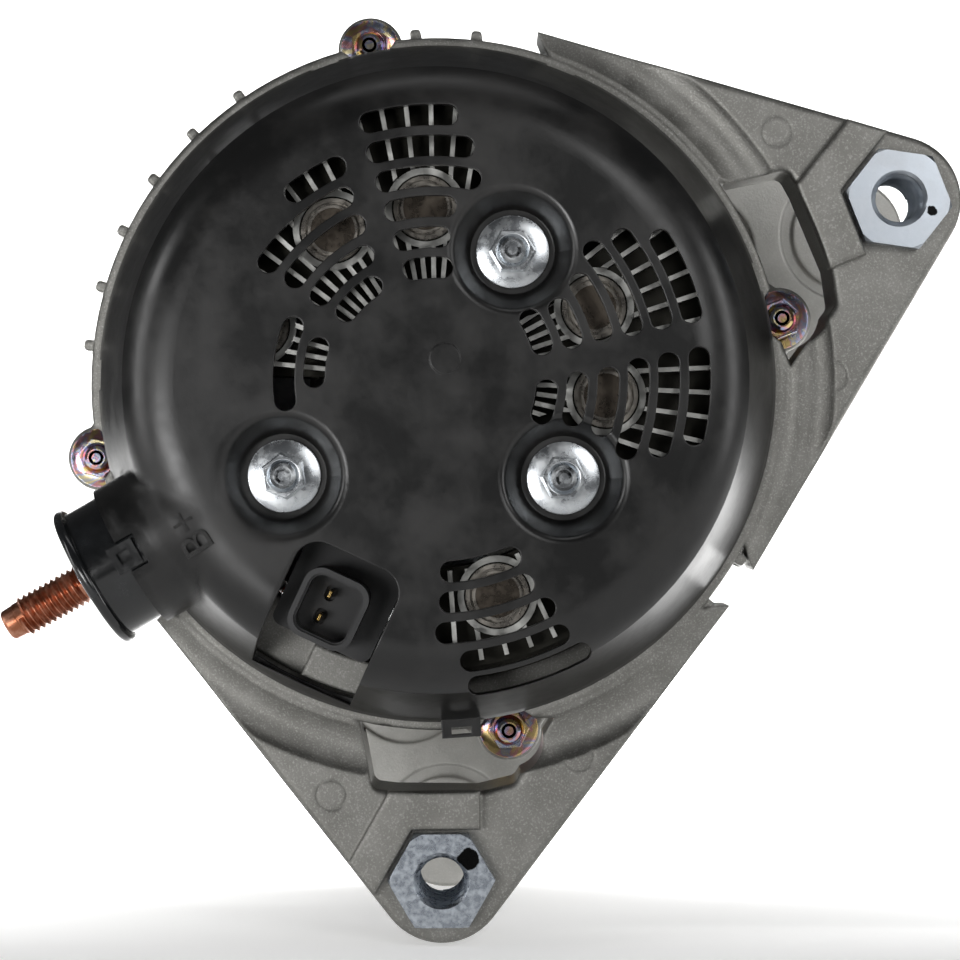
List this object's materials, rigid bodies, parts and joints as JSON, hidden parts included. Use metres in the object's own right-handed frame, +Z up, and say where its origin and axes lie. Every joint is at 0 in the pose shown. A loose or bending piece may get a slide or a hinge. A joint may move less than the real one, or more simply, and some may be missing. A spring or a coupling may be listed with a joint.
{
  "type": "car alternator",
  "caption": "Car alternator with a slotted black rear cover, cast frames with two triangular mounting ears, a radial terminal stud, a plug socket and a grooved belt pulley.",
  "frame": {"origin": "on the shaft axis, in the middle of the pulley's belt track", "axes": "+Y along the shaft out of the pulley end, +Z up, the covered electrical end at -Y with the upper ear towards +X"},
  "size_m": [0.1939, 0.1682, 0.1942],
  "materials": {
    "cover_plastic": "satin glass-filled nylon",
    "moulded_plastic": "satin moulded plastic",
    "insulator_plastic": "glossy moulded plastic",
    "cast_aluminium": "die cast and shot blasted",
    "sheet_aluminium": "extruded and sawn",
    "bright_zinc": "bright zinc plated steel",
    "yellow_zinc": "iridescent zinc plated steel",
    "blue_zinc": "blue zinc plated steel",
    "diode_steel": "nickel plated cup with brown sealing face",
    "contact_brass": "bright brass",
    "copper_plated": "copper plated steel",
    "bare_copper": "bare copper",
    "enamelled_copper": "enamelled copper wire, varnished",
    "lamination_steel": "stacked electrical sheet, varnished",
    "pole_steel": "forged steel, varnished",
    "fan_steel": "pressed zinc plated sheet steel",
    "machined_steel": "turned steel",
    "bearing_steel": "ground bearing steel",
    "cage_plastic": "natural nylon",
    "carbon": "sintered copper-carbon",
    "spring_steel": "spring wire",
    "pulley_paint": "black phosphated steel"
  },
  "bodies": {
    "housing": {"rear_cover": "cover_plastic", "regulator": "moulded_plastic", "plug_shell": "moulded_plastic", "brush_holder": "moulded_plastic", "terminal_block": "moulded_plastic", "insulating_bushes": "moulded_plastic", "b_plus_insulator": "insulator_plastic", "rear_frame": "cast_aluminium", "drive_frame": "cast_aluminium", "positive_heat_sink": "sheet_aluminium", "negative_heat_sink": "sheet_aluminium", "cover_nuts": "bright_zinc", "cover_studs": "bright_zinc", "stud_collars": "bright_zinc", "retainer_screws": "bright_zinc", "b_plus_washer": "bright_zinc", "frame_stud_nuts": "yellow_zinc", "frame_studs": "yellow_zinc", "positive_diodes": "diode_steel", "negative_diodes": "diode_steel", "connector_pins": "contact_brass", "b_plus_stud": "copper_plated", "phase_leads": "bare_copper", "stator_winding": "enamelled_copper", "stator_core": "lamination_steel", "bearing_retainer": "fan_steel", "rear_bearing_outer_ring": "bearing_steel", "front_bearing_outer_ring": "bearing_steel", "outer_brush_spring": "spring_steel", "inner_brush_spring": "spring_steel"},
    "rotor": {"shaft": "machined_steel", "rear_claw_pole": "pole_steel", "front_claw_pole": "pole_steel", "field_bobbin": "moulded_plastic", "field_coil": "enamelled_copper", "rear_fan": "fan_steel", "front_fan": "fan_steel", "slip_ring_hub": "moulded_plastic", "slip_rings": "bare_copper", "rear_bearing_inner_ring": "bearing_steel", "front_bearing_inner_ring": "bearing_steel", "pulley_spacer": "machined_steel", "pulley": "pulley_paint", "pulley_nut": "blue_zinc"},
    "rear_cage": {"rear_bearing_cage": "cage_plastic", "rear_bearing_balls": "bearing_steel"},
    "front_cage": {"front_bearing_cage": "cage_plastic", "front_bearing_balls": "bearing_steel"},
    "outer_brush_body": {"outer_brush": "carbon"},
    "inner_brush_body": {"inner_brush": "carbon"},
    "upper_nut": {"upper_slip_nut": "blue_zinc"},
    "lower_nut": {"lower_slip_nut": "blue_zinc"}
  },
  "joints": [
    {"name": "rotor_spin", "type": "hinge", "parent": "housing", "child": "rotor", "pos_m": [0, 0, 0], "axis": [0, 1, 0], "continuous": true},
    {"name": "rear_cage_spin", "type": "hinge", "parent": "housing", "child": "rear_cage", "pos_m": [0, -0.1125, 0], "axis": [0, 1, 0], "continuous": true},
    {"name": "front_cage_spin", "type": "hinge", "parent": "housing", "child": "front_cage", "pos_m": [0, -0.031, 0], "axis": [0, 1, 0], "continuous": true},
    {"name": "outer_brush_slide", "type": "slide", "parent": "housing", "child": "outer_brush_body", "axis": [0, 0, -1], "range_m": [0, 0.004], "stiffness_N_per_m": 300, "springref_m": -0.012, "deforming": ["outer_brush_spring"]},
    {"name": "inner_brush_slide", "type": "slide", "parent": "housing", "child": "inner_brush_body", "axis": [0, 0, -1], "range_m": [0, 0.004], "stiffness_N_per_m": 300, "springref_m": -0.012, "deforming": ["inner_brush_spring"]},
    {"name": "upper_slip_nut_slide", "type": "slide", "parent": "housing", "child": "upper_nut", "axis": [0, -1, 0], "range_m": [0, 0.0025]},
    {"name": "lower_slip_nut_slide", "type": "slide", "parent": "housing", "child": "lower_nut", "axis": [0, -1, 0], "range_m": [0, 0.0025]}
  ],
  "couplings": [
    {"joint": "rear_cage_spin", "follows": "rotor_spin", "ratio": 0.382},
    {"joint": "front_cage_spin", "follows": "rotor_spin", "ratio": 0.366}
  ]
}
